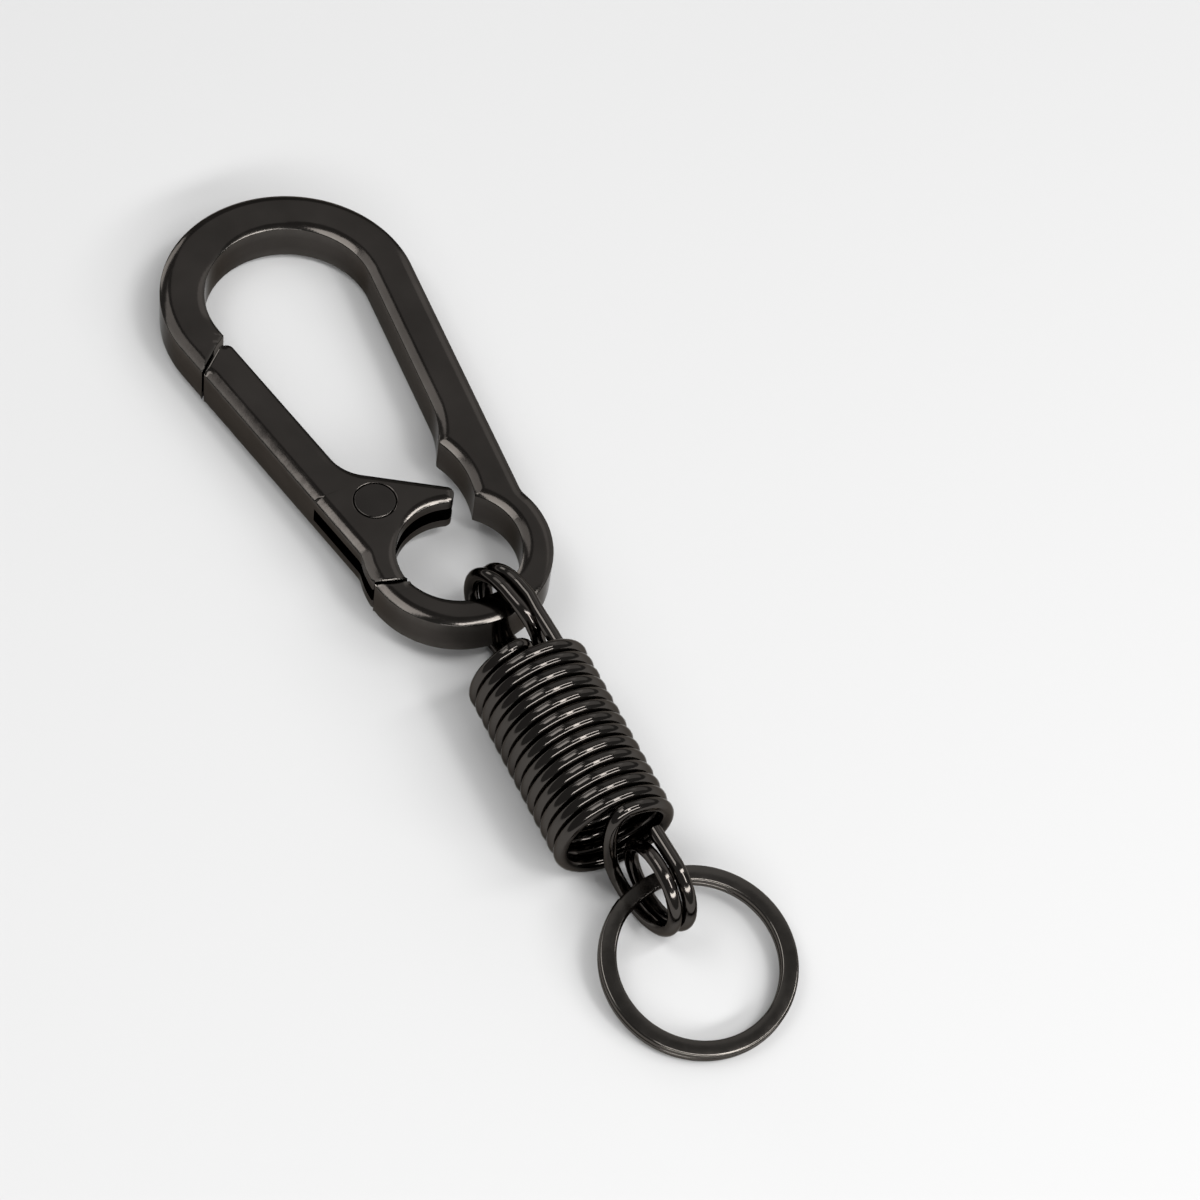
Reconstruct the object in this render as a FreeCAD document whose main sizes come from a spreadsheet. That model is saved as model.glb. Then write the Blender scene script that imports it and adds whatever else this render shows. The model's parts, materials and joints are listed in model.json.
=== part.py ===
import FreeCAD, Part
import Sketcher
import math
import os

V = FreeCAD.Vector
doc = FreeCAD.newDocument("BeltKeyClip")

# Driving dimensions, in millimetres and degrees.
SIZES = {
    # hook body: distances run from the centre of the eye
    "arch_pitch": 46.5,
    "arch_radius": 17.5,
    "bar_width": 6.05,
    "arm_angle": 7.8,
    "shoulder_angle": 18.67383,
    "eye_radius": 12.5,
    "eye_hole_radius": 8.45,
    "hook_thickness": 6.6,
    "edge_round": 1.1,
    "shoulder_round": 3.0,
    "corner_round": 0.7,
    "seam_height": 39.5,
    "seam_angle": 39.5,
    "seam_gap": 0.35,
    # clearance that the gate's foot swings in, about the pin
    "pin_across": 6.25,
    "pin_height": 10.8,
    "swing_radius": 13.1,
    "lip_height": 5.0,
    "flare_height": 6.0,
    "flare_radius": 14.0,
    # tongue that carries the pin between the gate's cheeks
    "tongue_thickness": 2.0,
    "tongue_radius": 3.3,
    "tongue_low": -100.0,
    "tongue_high": 170.0,
    "tongue_root": 1.5,
    "slot_clearance": 0.2,
    "recess_depth": 1.3,
    # pin
    "pin_radius": 1.4,
    "head_radius": 2.8,
    "head_depth": 0.9,
    "pin_clearance": 0.05,
    "pin_grip": 0.01,
    # gate
    "gate_width": 5.9,
    "gate_edge_round": 1.0,
    "gate_corner_round": 1.1,
    "bend_round": 6.0,
    "beak_angle": 36.0,
    "beak_offset": 4.2,
    "beak_length": 10.0,
    "beak_tip": 2.4,
    "beak_round": 1.1,
    "throat_radius": 7.9,
    "tail_gap": 0.4,
    # torsion spring in the tongue
    "torsion_wire": 0.45,
    "torsion_radius": 2.0,
    "torsion_pitch": 0.5,
    "torsion_leg": 2.4,
    "torsion_clearance": 0.12,
    # stretch spring
    "wire": 1.5,
    "coil_radius": 7.25,
    "coil_pitch": 1.92,
    "coil_turns": 14,
    "loop_radius": 5.6,
    "loop_pitch": 2.0,
    "loop_gap": 1.4,
    "loop_bend": 2.6,
    "loop_spread": 0.9,
    "loop_tail": 2.4,
    "upper_side": 2.4,
    "upper_reach": 9.0,
    "upper_lean": -0.2,
    "lower_side": 2.7,
    "lower_reach": 7.0,
    "lower_lean": 0.12,
    "spring_lean": 4.0,
    "spring_across": 0.5,
    # key ring
    "ring_radius": 12.5,
    "ring_band": 2.2,
    "ring_layer": 0.8,
    "ring_layer_gap": 0.45,
    "ring_round": 0.2,
    "ring_step_angle": 40.0,
    "ring_turned": 200.0,
    "ring_side": 1.0,
    "ring_seat": 1.4,
    # resting pose on the table
    "table_gap": 0.2,
    "eye_clearance": 1.2,
    "ring_clearance": 1.4,
}

sheet = doc.addObject("Spreadsheet::Sheet", "Dims")
for row, (alias, value) in enumerate(SIZES.items(), 1):
    sheet.set("A%d" % row, alias)
    sheet.set("B%d" % row, str(value))
    sheet.setAlias("B%d" % row, alias)
doc.recompute()


def value(expression):
    """The number that an expression on the sheet gives."""
    return float(sheet.evalExpression(expression))


def dim(alias):
    return value("Dims." + alias)


# Share of a wall that a round on each of its sides may take.
WALL_SHARE = 0.45

# Expressions that the outlines share. Each arm leans inwards, from the end of the arch's arc to the
# shoulder on the eye's outer circle, and FOOT is how far its outer edge passes from the eye's centre.
SHOULDER_X = "(Dims.eye_radius * cos(Dims.shoulder_angle))"
SHOULDER_Y = "(Dims.eye_radius * sin(Dims.shoulder_angle))"
ARM_RUN = f"(Dims.arch_radius * cos(Dims.arm_angle) - {SHOULDER_X})"
ARM_RISE = f"(Dims.arch_pitch - Dims.arch_radius * sin(Dims.arm_angle) - {SHOULDER_Y})"
SIN = f"sin(atan({ARM_RUN} / {ARM_RISE}))"
COS = f"cos(atan({ARM_RUN} / {ARM_RISE}))"
FOOT = f"({SHOULDER_X} * {COS} - {SHOULDER_Y} * {SIN})"
INNER = "(Dims.arch_radius - Dims.bar_width)"
SEAM = "tan(Dims.seam_angle)"
SLOT_RADIUS = "(Dims.tongue_radius + Dims.slot_clearance)"
SLOT_WIDTH = "(Dims.tongue_thickness + 2 * Dims.slot_clearance)"
SEAT_RADIUS = "(Dims.head_radius + Dims.pin_clearance)"
TAIL_RADIUS = "(Dims.swing_radius - Dims.tail_gap)"
PIN_X = "(-Dims.pin_across)"
PIN_Y = "Dims.pin_height"
BEAK_X = f"({PIN_X} + Dims.beak_offset * sin(Dims.beak_angle))"
BEAK_Y = f"({PIN_Y} + Dims.beak_offset * cos(Dims.beak_angle))"


def arm_x(radius, height):
    """How far out an arm's edge lies at a height, on the right side."""
    return f"(({FOOT} - Dims.arch_radius + {radius} + {SIN} * {height}) / {COS})"


def within_wall(alias):
    """A round's size, limited by the wall of the eye."""
    return f"min(Dims.{alias}; {WALL_SHARE} * (Dims.eye_radius - Dims.eye_hole_radius))"


def on_both_circles(radius, swing):
    """Left crossing of a circle about the eye with a circle about the pin."""
    reach = "sqrt(Dims.pin_across ^ 2 + Dims.pin_height ^ 2)"
    along = f"(({reach} ^ 2 + {radius} ^ 2 - {swing} ^ 2) / (2 * {reach}))"
    aside = f"sqrt({radius} ^ 2 - {along} ^ 2)"
    return (
        f"(-({along} * Dims.pin_across + {aside} * Dims.pin_height) / {reach})",
        f"(({along} * Dims.pin_height - {aside} * Dims.pin_across) / {reach})",
    )


def along_beak(length, down="0"):
    """A point on the beak's upper edge, or a distance below that edge."""
    return (
        f"({BEAK_X} + {length} * cos(Dims.beak_angle) - {down} * sin(Dims.beak_angle))",
        f"({BEAK_Y} - {length} * sin(Dims.beak_angle) - {down} * cos(Dims.beak_angle))",
    )


def new_sketch(body, name, plane="XY_Plane", offset=None):
    sketch = body.newObject("Sketcher::SketchObject", name)
    support = next(f for f in body.Origin.OriginFeatures if f.Role == plane)
    sketch.AttachmentSupport = [(support, "")]
    sketch.MapMode = "FlatFace"
    if offset:
        sketch.setExpression(".AttachmentOffset.Base.z", offset)
    return sketch


def bind(sketch, constraint, name, expression):
    index = sketch.addConstraint(constraint)
    sketch.renameConstraint(index, name)
    sketch.setExpression("Constraints." + name, expression)


def arc_through(start, end, radius, large):
    """A counter-clockwise arc from start to end, the short or the long way round."""
    chord = end - start
    half = chord.Length / 2
    height = math.sqrt(max(radius ** 2 - half ** 2, 0.0))
    aside = V(-chord.y, chord.x, 0).normalize()
    centre = (start + end) / 2 + aside * (-height if large else height)
    circle = Part.Circle(centre, V(0, 0, 1), radius)
    first = math.atan2(start.y - centre.y, start.x - centre.x)
    last = math.atan2(end.y - centre.y, end.x - centre.x)
    return Part.ArcOfCircle(circle, first, last if last > first else last + 2 * math.pi)


def outline(sketch, corners, edges):
    """Draw a closed outline. A corner is a pair of expressions. An edge is None for a line, or
    (radius, turn, large) for an arc that turns left (1) or right (-1) on its way."""
    points = [V(value(x), value(y), 0) for x, y in corners]
    count = len(points)
    ends = []
    for i, edge in enumerate(edges):
        start, end = points[i], points[(i + 1) % count]
        if edge is None:
            index = sketch.addGeometry(Part.LineSegment(start, end), False)
            ends.append((index, 1, 2))
        else:
            radius, turn, large = edge
            pair = (start, end) if turn > 0 else (end, start)
            index = sketch.addGeometry(arc_through(*pair, value(radius), large), False)
            ends.append((index, 1, 2) if turn > 0 else (index, 2, 1))
    for i in range(count):
        here, after = ends[i], ends[(i + 1) % count]
        sketch.addConstraint(Sketcher.Constraint("Coincident", here[0], here[2], after[0], after[1]))
    for i, (x, y) in enumerate(corners):
        index, first, _ = ends[i]
        across = Sketcher.Constraint("DistanceX", -1, 1, index, first, points[i].x)
        bind(sketch, across, "corner%d_x" % i, x)
        up = Sketcher.Constraint("DistanceY", -1, 1, index, first, points[i].y)
        bind(sketch, up, "corner%d_y" % i, y)
    for i, edge in enumerate(edges):
        if edge is not None:
            bent = Sketcher.Constraint("Radius", ends[i][0], value(edge[0]))
            bind(sketch, bent, "radius%d" % i, edge[0])
    return sketch


def circle(sketch, x, y, radius):
    index = sketch.addGeometry(Part.Circle(V(value(x), value(y), 0), V(0, 0, 1), value(radius)), False)
    bind(sketch, Sketcher.Constraint("DistanceX", -1, 1, index, 3, value(x)), "centre%d_x" % index, x)
    bind(sketch, Sketcher.Constraint("DistanceY", -1, 1, index, 3, value(y)), "centre%d_y" % index, y)
    bind(sketch, Sketcher.Constraint("Radius", index, value(radius)), "radius%d" % index, radius)
    return sketch


def pad(body, sketch, name, length):
    """Thicken a sketch equally to both sides."""
    feature = body.newObject("PartDesign::Pad", name)
    feature.Profile = sketch
    feature.SideType = "Symmetric"
    feature.setExpression("Length", length)
    doc.recompute()
    return feature


def cut(body, sketch, name, length=None, one_way=False, reverse=False):
    """Cut a sketch through the body, or a slot of some width about the middle plane, or a recess."""
    before = body.Shape.Volume
    feature = body.newObject("PartDesign::Pocket", name)
    feature.Profile = sketch
    feature.SideType = "One side" if one_way else "Symmetric"
    feature.Reversed = reverse
    if length:
        feature.setExpression("Length", length)
    else:
        feature.Type = "ThroughAll"
    doc.recompute()
    if not body.Shape.Volume < before - 1e-3:
        raise RuntimeError(name + " cuts nothing")
    return feature


def upright_edges(shape, x, y):
    """Names of the edges that run square to the faces at a place."""
    spot = V(value(x), value(y), 0)
    names = []
    for number, edge in enumerate(shape.Edges, 1):
        a, b = edge.Vertexes[0].Point, edge.Vertexes[-1].Point
        if abs(a.z - b.z) > 0.1 and all((V(p.x, p.y, 0) - spot).Length < 0.05 for p in (a, b)):
            names.append("Edge%d" % number)
    if not names:
        raise RuntimeError("no upright edge at %.2f, %.2f" % (spot.x, spot.y))
    return names


def face_edges(shape, keep):
    """Names of the edges of the front and back faces that a test on their middle point keeps."""
    half = dim("hook_thickness") / 2
    names = []
    for number, edge in enumerate(shape.Edges, 1):
        middle = edge.valueAt((edge.FirstParameter + edge.LastParameter) / 2)
        flat = all(abs(abs(p.z) - half) < 1e-4 for p in [middle] + [v.Point for v in edge.Vertexes])
        if flat and keep(middle):
            names.append("Edge%d" % number)
    return names


def round_edges(body, name, names, radius):
    base = body.Tip
    feature = body.newObject("PartDesign::Fillet", name)
    feature.Base = (base, names)
    feature.setExpression("Radius", radius)
    doc.recompute()
    return feature


def beside_seam(point):
    """How far a point lies above the nose's slanted end."""
    start = -value(arm_x("Dims.arch_radius", "Dims.seam_height"))
    lean = math.radians(dim("seam_angle"))
    return (point.y - dim("seam_height")) * math.cos(lean) - (point.x - start) * math.sin(lean)


def from_pin(point):
    return math.hypot(point.x + dim("pin_across"), point.y - dim("pin_height"))


def make_hook():
    body = doc.addObject("PartDesign::Body", "HookBody")
    shoulder = (SHOULDER_X, SHOULDER_Y)
    crown = "(Dims.arch_pitch - Dims.arch_radius * sin(Dims.arm_angle))"
    side = "(Dims.arch_radius * cos(Dims.arm_angle))"
    frame = outline(
        new_sketch(body, "FrameOutline"),
        [(side, crown), (f"-{side}", crown), (f"-{SHOULDER_X}", SHOULDER_Y), shoulder],
        [("Dims.arch_radius", 1, True), None, ("Dims.eye_radius", 1, True), None],
    )
    pad(body, frame, "Frame", "Dims.hook_thickness")

    # belt opening, with the right arm flaring in above the scoop
    crown = f"(Dims.arch_pitch - {INNER} * sin(Dims.arm_angle))"
    side = f"({INNER} * cos(Dims.arm_angle))"
    lip = (
        f"({PIN_X} + sqrt(Dims.swing_radius ^ 2 - Dims.lip_height ^ 2))",
        f"({PIN_Y} + Dims.lip_height)",
    )
    flare_y = f"({lip[1]} + Dims.flare_height)"
    opening = outline(
        new_sketch(body, "OpeningOutline"),
        [
            (side, crown),
            (f"-{side}", crown),
            (f"-{arm_x(INNER, PIN_Y)}", PIN_Y),
            lip,
            (arm_x(INNER, flare_y), flare_y),
        ],
        [(INNER, 1, True), None, None, ("Dims.flare_radius", 1, False), None],
    )
    cut(body, opening, "Opening")
    cut(body, circle(new_sketch(body, "EyeOutline"), "0", "0", "Dims.eye_hole_radius"), "Eye")
    cut(body, circle(new_sketch(body, "SwingOutline"), PIN_X, PIN_Y, "Dims.swing_radius"), "Swing")

    # gap that the gate closes, under the nose's slanted end
    outer = f"-{arm_x('Dims.arch_radius', 'Dims.seam_height')}"
    past = "(2 * Dims.bar_width)"
    gap = outline(
        new_sketch(body, "GapOutline"),
        [
            (f"({outer} + {past})", f"(Dims.seam_height + {past} * {SEAM})"),
            (f"({outer} - {past})", f"(Dims.seam_height - {past} * {SEAM})"),
            (f"({outer} - {past})", PIN_Y),
            (f"({outer} + {past})", PIN_Y),
        ],
        [None, None, None, None],
    )
    cut(body, gap, "Gap")

    # rounded shoulder and lip, then the rounds of the front and back faces
    round_edges(body, "Shoulder", upright_edges(body.Shape, *shoulder), "Dims.shoulder_round")
    round_edges(body, "Lip", upright_edges(body.Shape, *lip), "Dims.corner_round")
    swing = dim("swing_radius")

    def keep(point):
        return abs(beside_seam(point)) > 0.01 and (point.x > 0 or abs(from_pin(point) - swing) > 0.01)

    round_edges(body, "Rounds", face_edges(body.Shape, keep), within_wall("edge_round"))

    # tongue, its bore and the recess that the torsion spring lies in
    root = on_both_circles("((Dims.eye_radius + Dims.eye_hole_radius) / 2)", "Dims.swing_radius")
    neck = "Dims.tongue_root"
    hub = "Dims.tongue_radius"
    tongue = outline(
        new_sketch(body, "TongueOutline"),
        [
            (f"({PIN_X} + {hub} * cos(Dims.tongue_low))", f"({PIN_Y} + {hub} * sin(Dims.tongue_low))"),
            (f"({PIN_X} + {hub} * cos(Dims.tongue_high))", f"({PIN_Y} + {hub} * sin(Dims.tongue_high))"),
            (f"({root[0]} - {neck})", f"({root[1]} - {neck})"),
            (f"({root[0]} + {neck})", f"({root[1]} - {neck})"),
        ],
        [(hub, 1, True), None, None, None],
    )
    pad(body, tongue, "Tongue", "Dims.tongue_thickness")
    bore = circle(new_sketch(body, "BoreOutline"), PIN_X, PIN_Y, "(Dims.pin_radius + Dims.pin_grip)")
    cut(body, bore, "Bore")
    bay = "(Dims.torsion_radius + Dims.torsion_wire / 2 + Dims.torsion_clearance)"
    over = "(2 * Dims.tongue_radius)"
    recess = outline(
        new_sketch(body, "RecessOutline", offset="Dims.tongue_thickness / 2 - Dims.recess_depth"),
        [
            (f"({PIN_X} + {bay})", PIN_Y),
            (f"({PIN_X} + {bay})", f"({PIN_Y} + {over})"),
            (f"({PIN_X} - {bay})", f"({PIN_Y} + {over})"),
            (f"({PIN_X} - {bay})", PIN_Y),
            (PIN_X, f"({PIN_Y} - {bay})"),
        ],
        [None, None, None, (bay, 1, False), (bay, 1, False)],
    )
    cut(body, recess, "Recess", "Dims.recess_depth", one_way=True, reverse=True)
    return body


def make_gate():
    body = doc.addObject("PartDesign::Body", "Gate")
    slope = f"({ARM_RUN} / {ARM_RISE})"
    drop = "(Dims.seam_gap / cos(Dims.seam_angle))"
    steep = f"(1 + {SEAM} * {slope})"
    start = f"(-{arm_x('Dims.arch_radius', 'Dims.seam_height')})"
    outer_rise = f"(-{drop} / {steep})"
    inner_rise = f"(({SEAM} * Dims.gate_width / {COS} - {drop}) / {steep})"
    shoulder = (f"-{SHOULDER_X}", SHOULDER_Y)
    corner_run = (
        f"(({FOOT} - Dims.gate_width + {COS} * {BEAK_X} + {SIN} * {BEAK_Y})"
        f" / ({SIN} * sin(Dims.beak_angle) - {COS} * cos(Dims.beak_angle)))"
    )
    bend = along_beak(corner_run)
    below = along_beak("Dims.beak_length", "Dims.beak_tip")
    top = (
        f"({start} + Dims.gate_width / {COS} - {slope} * {inner_rise})",
        f"(Dims.seam_height + {inner_rise})",
    )
    blank = outline(
        new_sketch(body, "GateOutline"),
        [
            top,
            (f"({start} - {slope} * {outer_rise})", f"(Dims.seam_height + {outer_rise})"),
            shoulder,
            on_both_circles("Dims.eye_radius", TAIL_RADIUS),
            on_both_circles("Dims.eye_hole_radius", TAIL_RADIUS),
            below,
            along_beak("Dims.beak_length"),
            bend,
        ],
        [
            None,
            None,
            ("Dims.eye_radius", 1, False),
            (TAIL_RADIUS, 1, False),
            ("Dims.throat_radius", -1, False),
            None,
            None,
            None,
        ],
    )
    pad(body, blank, "Blank", "Dims.hook_thickness")
    # rounded corners
    round_edges(body, "Bend", upright_edges(body.Shape, *bend), "Dims.bend_round")
    round_edges(body, "Corner", upright_edges(body.Shape, *top), "Dims.gate_corner_round")
    round_edges(body, "GateShoulder", upright_edges(body.Shape, *shoulder), "Dims.shoulder_round")
    for name, corner in (("TipAbove", along_beak("Dims.beak_length")), ("TipBelow", below)):
        round_edges(body, name, upright_edges(body.Shape, *corner), "Dims.beak_round")

    # slot for the tongue: open outwards, at the tail, and between the two tines of the beak
    far = "(2 * Dims.eye_radius)"
    tangent = (
        f"({PIN_X} + {SLOT_RADIUS} * sin(Dims.beak_angle))",
        f"({PIN_Y} + {SLOT_RADIUS} * cos(Dims.beak_angle))",
    )
    past = (
        f"({tangent[0]} + {far} * cos(Dims.beak_angle))",
        f"({tangent[1]} - {far} * sin(Dims.beak_angle))",
    )
    roof = f"({PIN_Y} + {SLOT_RADIUS})"
    slot = outline(
        new_sketch(body, "SlotOutline"),
        [
            (f"-{far}", roof),
            (f"-{far}", f"-{far}"),
            (past[0], f"-{far}"),
            past,
            tangent,
            (PIN_X, roof),
        ],
        [None, None, None, None, (SLOT_RADIUS, 1, False), None],
    )
    cut(body, slot, "Slot", SLOT_WIDTH)

    # bores for the pin's shank, and a flush seat for each head
    bore = circle(new_sketch(body, "PivotOutline"), PIN_X, PIN_Y, "(Dims.pin_radius + Dims.pin_clearance)")
    cut(body, bore, "Pivot")
    for name, sign, reverse in (("FrontSeat", "", True), ("BackSeat", "-", False)):
        level = f"{sign}(Dims.hook_thickness / 2 - Dims.head_depth)"
        seat = new_sketch(body, name + "Outline", offset=level)
        circle(seat, PIN_X, PIN_Y, SEAT_RADIUS)
        cut(body, seat, name, "Dims.hook_thickness", one_way=True, reverse=reverse)

    # rounds of the front and back faces
    gap = dim("seam_gap")
    plain = value(TAIL_RADIUS), value(SEAT_RADIUS)

    def keep(point):
        return abs(beside_seam(point) + gap) > 0.01 and all(abs(from_pin(point) - r) > 0.01 for r in plain)

    round_edges(body, "GateRounds", face_edges(body.Shape, keep), within_wall("gate_edge_round"))
    return body


def make_pin():
    """A spool: a shank with a flat head at each face, flush with the gate."""
    body = doc.addObject("PartDesign::Body", "Pin")
    half = "(Dims.hook_thickness / 2)"
    under = "(Dims.hook_thickness / 2 - Dims.head_depth + Dims.pin_clearance)"
    profile = outline(
        new_sketch(body, "PinProfile", "XZ_Plane"),
        [
            ("0", f"-{half}"),
            ("Dims.head_radius", f"-{half}"),
            ("Dims.head_radius", f"-{under}"),
            ("Dims.pin_radius", f"-{under}"),
            ("Dims.pin_radius", under),
            ("Dims.head_radius", under),
            ("Dims.head_radius", half),
            ("0", half),
        ],
        [None] * 8,
    )
    spool = body.newObject("PartDesign::Revolution", "Spool")
    spool.Profile = profile
    spool.ReferenceAxis = (profile, ["V_Axis"])
    spool.Angle = 360
    doc.recompute()
    return body


def biarc(start, heading, end, towards):
    """Two arcs that leave start along heading and reach end along towards."""
    gap = end - start
    both = heading + towards
    spread = 2 * (1 - heading.dot(towards))
    if spread < 1e-9:
        reach = gap.dot(gap) / (4 * gap.dot(towards))
    else:
        reach = (math.sqrt(gap.dot(both) ** 2 + spread * gap.dot(gap)) - gap.dot(both)) / spread
    first, last = start + heading * reach, end - towards * reach
    middle = (first + last) / 2
    pieces = []
    for a, corner, b in ((start, first, middle), (middle, last, end)):
        mid = (a + b) / 2
        apex = (mid - corner).Length
        if apex < 1e-7:
            pieces.append((Part.LineSegment(a, b).toShape(), math.inf))
            continue
        leg = (a - corner).Length
        radius = leg * (b - a).Length / 2 / apex
        top = corner + (mid - corner).normalize() * (math.hypot(radius, leg) - radius)
        pieces.append((Part.Arc(a, top, b).toShape(), radius))
    return pieces


def wire_tube(nodes, thickness):
    """One unbroken tube through nodes, each a point and a heading. Also its sharpest radius."""
    pieces = []
    for (a, heading), (b, towards) in zip(nodes, nodes[1:]):
        pieces += biarc(a, heading, b, towards)
    path = Part.Wire([edge for edge, _ in pieces])
    start, heading = nodes[0]
    section = Part.Wire([Part.Circle(start, heading, thickness / 2).toShape()])
    tube = path.makePipeShell([section], True, False)
    if tube.Volume < 0:
        tube.reverse()
    return Part.Solid(tube.Shells[0]), path, min(radius for _, radius in pieces)


def least_gap(path, thickness):
    """The least clear distance of a wound wire to itself, on points along it."""
    step = thickness / 4
    points = path.discretize(Distance=step)
    skip = int(round(2.5 * thickness / step))
    least = math.inf
    for i, p in enumerate(points):
        for q in points[i + skip:]:
            least = min(least, (p - q).Length)
    return least - thickness


def node(position, heading):
    return position, V(heading).normalize()


def torsion_nodes():
    """One and a half turns about the pin, with both legs pointing up to the gate."""
    radius, pitch, leg = dim("torsion_radius"), dim("torsion_pitch"), dim("torsion_leg")
    rise = pitch / (2 * math.pi)
    floor = dim("tongue_thickness") / 2 - dim("recess_depth")
    low = floor + dim("torsion_clearance") + dim("torsion_wire") / 2
    turn = []
    for quarter in range(7):
        angle = math.pi + quarter * math.pi / 2
        point = V(radius * math.cos(angle), radius * math.sin(angle), low + rise * (angle - math.pi))
        turn.append(node(point, V(-radius * math.sin(angle), radius * math.cos(angle), rise)))
    first, last = turn[0], turn[-1]
    turn.insert(0, (first[0] - first[1] * leg, first[1]))
    turn.append((last[0] + last[1] * leg, last[1]))
    return turn


def coil_node(angle, start_angle):
    """A point of the coil. It winds down from the upper loop, about an axis above the loop's centre."""
    radius, climb = dim("coil_radius"), dim("coil_pitch") / (2 * math.pi)
    height = dim("coil_radius") - dim("loop_radius")
    down = dim("upper_reach") + climb * (angle - start_angle)
    point = V(radius * math.cos(angle), -down, height + radius * math.sin(angle))
    return node(point, V(-radius * math.sin(angle), -climb, radius * math.cos(angle)))


def loop_nodes(centre, away, end):
    """A double loop that starts down the coil's side and drifts by a pitch in a turn. away is 1 up to
    the hook and -1 down to the ring. Its free end runs back towards the coil."""
    radius, lean, reach = dim("loop_radius"), dim(end + "_lean"), dim(end + "_reach")
    sides = [dim(end + "_side") + away * dim("loop_pitch") * (1.25 - 0.25 * quarter) for quarter in range(8)]
    if end == "lower":
        sides[0] -= dim("loop_spread")
    flat = reach - radius - dim("loop_gap")
    strand = (-flat, 0) if flat > 0.1 else (0,)
    nodes = []
    for quarter, side in enumerate(sides):
        angle = math.pi + quarter * math.pi / 2
        before, after = sides[max(quarter - 1, 0)], sides[min(quarter + 1, len(sides) - 1)]
        drift = (after - before) / math.pi
        along, rise = radius * math.cos(angle), radius * math.sin(angle)
        heading = V(drift - lean * rise, -away * rise, along)
        # to the coil's side, along the lower strand, round the far end, back along the upper strand
        places = ((along - flat,), strand, (along,), strand[::-1])[quarter % 4]
        for place in places:
            nodes.append(node(V(side + lean * place, centre + away * place, rise), heading))
    tail, side = dim("loop_tail") - reach, 2 * sides[-1] - sides[-2]
    nodes.append(node(V(side + lean * tail, centre + away * tail, rise), heading))
    return nodes


def coil_angles():
    """Angles at which the coil leaves for the upper loop and for the lower one."""
    upper, lower = loop_nodes(0, 1, "upper")[0][0].x, loop_nodes(0, -1, "lower")[0][0].x
    bend, radius = dim("loop_bend"), dim("coil_radius")
    first = math.acos((upper - bend) / radius)
    last = math.acos((lower + bend) / radius) + 2 * math.pi * round(dim("coil_turns"))
    return first, last


def spring_nodes():
    """Nodes of the wire: upper loop and coil, then the lower loop, and the lower loop's centre."""
    first, last = coil_angles()
    halves = int(math.ceil((last - first) / math.pi))
    coil = [coil_node(first + (last - first) * i / halves, first) for i in range(halves + 1)]
    top = [(point, heading * -1) for point, heading in reversed(loop_nodes(0, 1, "upper"))]
    centre = coil[-1][0].y - dim("lower_reach")
    return top + coil, [coil[-1]] + loop_nodes(centre, -1, "lower"), centre


def part_feature(name, shape):
    feature = doc.addObject("Part::Feature", name)
    feature.Shape = shape
    return feature


def strip(sketch, low, high):
    """Section of the ring's strip, from its inner to its outer rim, with rounded corners."""
    inner, outer, bend = "(Dims.ring_radius - Dims.ring_band)", "Dims.ring_radius", "Dims.ring_round"
    return outline(
        sketch,
        [
            (f"({inner} + {bend})", low),
            (f"({outer} - {bend})", low),
            (outer, f"({low} + {bend})"),
            (outer, f"({high} - {bend})"),
            (f"({outer} - {bend})", high),
            (f"({inner} + {bend})", high),
            (inner, f"({high} - {bend})"),
            (inner, f"({low} + {bend})"),
        ],
        [None, (bend, 1, False)] * 4,
    )


def make_ring():
    """A flat split ring: two layers of one strip, joined by a slanted step."""
    body = doc.addObject("PartDesign::Body", "Ring")
    near = "(Dims.ring_layer_gap / 2)"
    far = "(Dims.ring_layer_gap / 2 + Dims.ring_layer)"
    for name, low, high in (("Lower", f"-{far}", f"-{near}"), ("Upper", near, far)):
        section = strip(new_sketch(body, name + "Section", "XZ_Plane"), low, high)
        if name == "Upper":
            step = body.newObject("PartDesign::AdditiveHelix", "Step")
            step.Profile = section
            step.ReferenceAxis = (section, ["V_Axis"])
            step.Mode = "height-turns-angle"
            step.setExpression("Height", "Dims.ring_layer + Dims.ring_layer_gap")
            step.setExpression("Turns", "Dims.ring_step_angle / 360")
            step.Reversed = True
            doc.recompute()
        layer = body.newObject("PartDesign::Revolution", name + "Layer")
        layer.Profile = section
        layer.ReferenceAxis = (section, ["V_Axis"])
        layer.setExpression("Angle", "360 - Dims.ring_step_angle")
        doc.recompute()
    return body


def turned(axis, angle, base=V(0, 0, 0)):
    return FreeCAD.Placement(base, FreeCAD.Rotation(axis, angle))


def moved(x, y, z):
    return FreeCAD.Placement(V(x, y, z), FreeCAD.Rotation())


def strand_top():
    """Height of the strands of the loops that lie on the table."""
    return dim("table_gap") + dim("wire")


def hook_place():
    """The hook lies on the back of its arch, and its eye rests over the upper loop's lower strands."""
    bend = value(within_wall("edge_round"))
    reach = dim("arch_pitch") + dim("arch_radius") - bend
    bar = (dim("eye_radius") + dim("eye_hole_radius")) / 2
    tilt = math.asin((strand_top() + dim("eye_clearance")) / (reach + bar))
    half = dim("hook_thickness") / 2
    height = bend + (half - bend) * math.cos(tilt) + reach * math.sin(tilt)
    return turned(V(1, 0, 0), -math.degrees(tilt), V(0, 0, height))


def spring_place(hook_at):
    """The upper loop stands round the bottom of the eye, and the coil leans off to one side."""
    bar = (dim("eye_radius") + dim("eye_hole_radius")) / 2
    across = dim("upper_side") - dim("spring_across")
    seat = hook_at.multVec(V(across, -math.sqrt(bar ** 2 - across ** 2), 0))
    height = dim("table_gap") + dim("wire") / 2 + dim("loop_radius")
    lean = turned(V(0, 0, 1), -dim("spring_lean"))
    start = V(seat.x, seat.y, height) - lean.multVec(V(dim("upper_side"), 0, 0))
    return turned(V(0, 0, 1), -dim("spring_lean"), start)


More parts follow.
